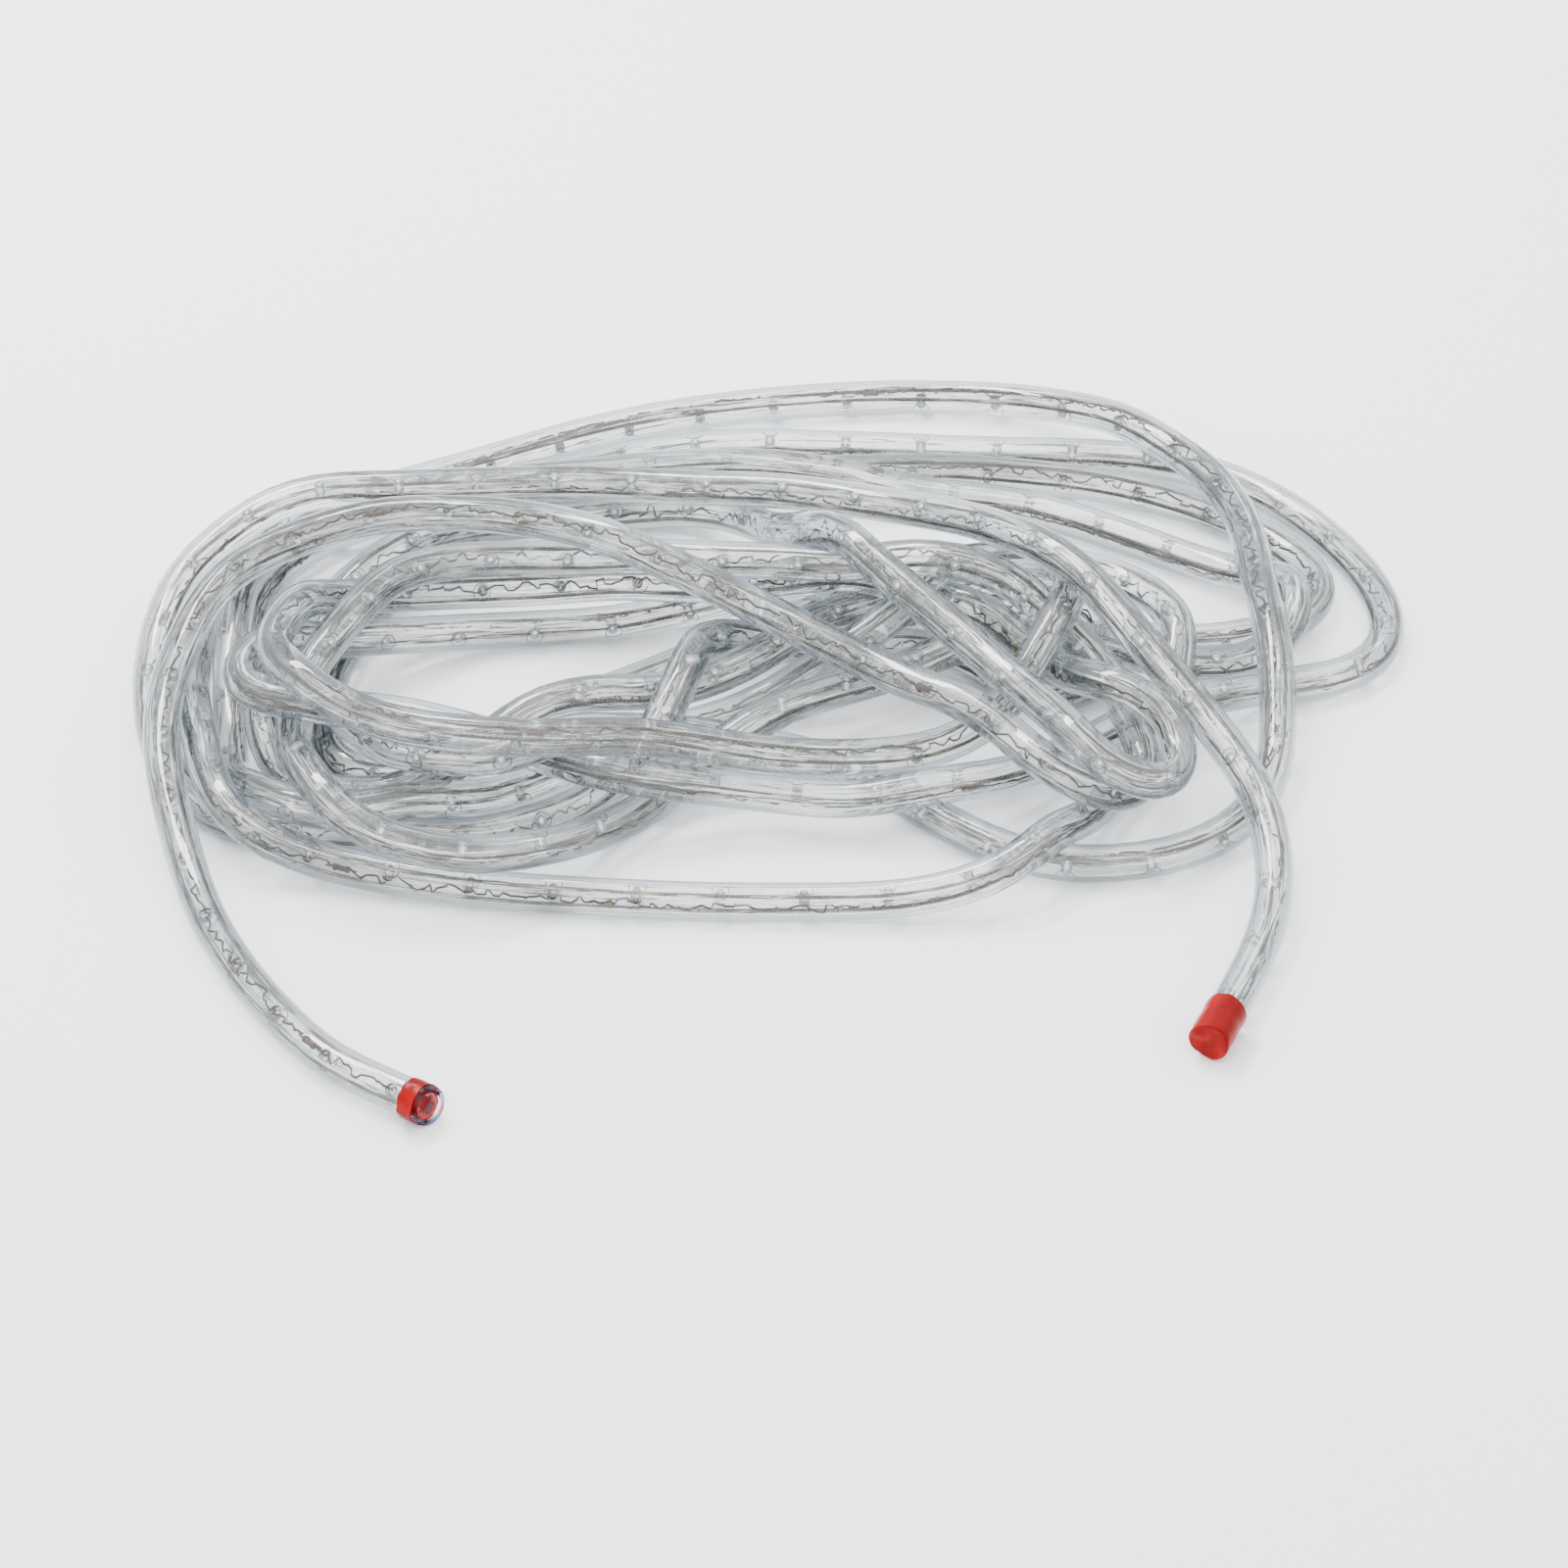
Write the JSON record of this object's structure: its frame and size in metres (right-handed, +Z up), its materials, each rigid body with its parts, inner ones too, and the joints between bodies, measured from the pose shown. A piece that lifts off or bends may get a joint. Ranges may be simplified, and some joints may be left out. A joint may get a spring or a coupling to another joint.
{
  "type": "led rope light",
  "caption": "Clear round PVC rope light with LEDs and two bus wires inside, lying in a loose tangled heap, both cut ends wrapped in red tape.",
  "frame": {"origin": "centre of the heap's box, at floor level", "axes": "+X to the right in the picture along the heap's long side, +Y away from the camera, +Z up"},
  "size_m": [0.449, 0.4142, 0.066],
  "materials": {
    "clear_pvc": "clear soft PVC, glossy",
    "core_pvc": "clear soft PVC, slightly hazy",
    "tinned_copper": "tinned copper strands",
    "red_tape": "glossy red PVC tape",
    "resistor_body": "tan lacquer with colour bands"
  },
  "bodies": {
    "root": {"jacket": "clear_pvc", "core": "core_pvc", "bus_wire_left": "tinned_copper", "bus_wire_right": "tinned_copper", "end_tape_left": "red_tape", "end_tape_right": "red_tape", "resistor_01": "resistor_body", "resistor_02": "resistor_body", "resistor_03": "resistor_body", "resistor_04": "resistor_body", "resistor_05": "resistor_body", "resistor_06": "resistor_body", "resistor_07": "resistor_body", "resistor_08": "resistor_body", "resistor_09": "resistor_body", "resistor_10": "resistor_body", "resistor_11": "resistor_body", "resistor_12": "resistor_body"}
  },
  "joints": []
}
